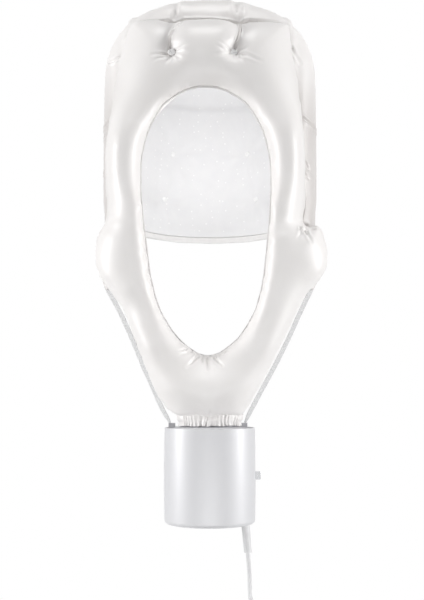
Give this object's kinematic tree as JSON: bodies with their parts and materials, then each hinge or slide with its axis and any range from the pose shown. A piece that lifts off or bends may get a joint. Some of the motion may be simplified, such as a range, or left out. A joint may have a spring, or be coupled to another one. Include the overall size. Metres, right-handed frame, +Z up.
{
  "type": "soft bonnet hair dryer",
  "caption": "Inflatable soft hood that blows warm air round the head from a small dryer unit hanging under its funnel.",
  "frame": {"origin": "where the crown of the wearer's head touches the lining of the hood, on its middle plane", "axes": "+X to the right seen from the front (the wearer's left), +Y to the back of the head, +Z up"},
  "size_m": [0.287, 0.2956, 0.898],
  "materials": {
    "shell_fabric": "satin",
    "lining_fabric": "matte",
    "binding_tape": "satin",
    "elastic_webbing": "matte",
    "weld_film": "satin",
    "strap_end_plastic": "satin",
    "housing_pearl": "satin",
    "deck_plastic": "satin",
    "grille_plastic": "matte",
    "filter_plastic": "matte",
    "mesh_nylon": "matte",
    "duct_plastic": "matte",
    "impeller_plastic": "satin",
    "mica": "satin",
    "resistance_wire": "satin",
    "zinc_plated_steel": "satin",
    "motor_steel": "satin",
    "cap_plastic": "matte",
    "sintered_bronze": "satin",
    "ferrite": "matte",
    "core_steel": "matte",
    "bimetal_can": "satin",
    "fuse_case": "satin",
    "board_laminate": "satin",
    "component_epoxy": "matte",
    "potting": "matte",
    "terminal_plastic": "matte",
    "switch_plastic": "matte",
    "knob_chrome": "polished",
    "relief_pvc": "matte",
    "cord_pvc": "satin",
    "tie_strip": "matte",
    "plug_pvc": "satin",
    "plated_brass": "polished"
  },
  "bodies": {
    "bonnet": {"bonnet_front_chamber": "shell_fabric", "bonnet_rear_chamber": "shell_fabric", "bonnet_liner": "lining_fabric", "face_edge_binding": "binding_tape", "hem_binding": "binding_tape", "bonnet_cuff": "shell_fabric", "cuff_elastic": "elastic_webbing", "strap_left": "elastic_webbing", "strap_right": "elastic_webbing", "strap_tab_left": "strap_end_plastic", "strap_tab_right": "strap_end_plastic", "strap_anchor_left": "shell_fabric", "strap_anchor_right": "shell_fabric", "weld_discs": "weld_film"},
    "dryer": {"front_shell": "housing_pearl", "rear_shell": "housing_pearl", "housing_screws": "zinc_plated_steel", "top_deck": "deck_plastic", "outlet_guard": "grille_plastic", "intake_grille": "grille_plastic", "filter_frame": "filter_plastic", "filter_mesh": "mesh_nylon", "air_duct": "duct_plastic", "mica_sleeve": "mica", "motor_mount": "duct_plastic", "motor_can": "motor_steel", "motor_end_cap": "cap_plastic", "motor_bushes": "sintered_bronze", "motor_magnets": "ferrite", "heater_former": "mica", "heater_winding": "resistance_wire", "thermostat": "bimetal_can", "thermal_fuse": "fuse_case", "circuit_board": "board_laminate", "board_parts": "component_epoxy", "ion_module": "potting", "needle_bush": "terminal_plastic", "ion_needle": "zinc_plated_steel", "switch_body": "switch_plastic", "terminal_block": "terminal_plastic", "cord_clamp": "terminal_plastic", "cord_inner_end": "cord_pvc", "strain_relief": "relief_pvc", "cord": "cord_pvc", "cord_coil": "cord_pvc", "cord_tie": "tie_strip", "plug_relief": "relief_pvc", "plug_body": "plug_pvc", "plug_pins": "plated_brass"},
    "rotor": {"impeller": "impeller_plastic", "motor_shaft": "zinc_plated_steel", "armature": "core_steel"},
    "knob": {"switch_knob": "knob_chrome"}
  },
  "joints": [
    {"name": "dryer_pull_off", "type": "slide", "parent": "bonnet", "child": "dryer", "axis": [0, 0, -1], "range_m": [0, 0.04]},
    {"name": "fan_spin", "type": "hinge", "parent": "dryer", "child": "rotor", "pos_m": [0, -0.102, -0.61], "axis": [0, 0, 1], "continuous": true},
    {"name": "switch_slide", "type": "slide", "parent": "dryer", "child": "knob", "axis": [0, 0, 1], "range_m": [0, 0.018]}
  ]
}
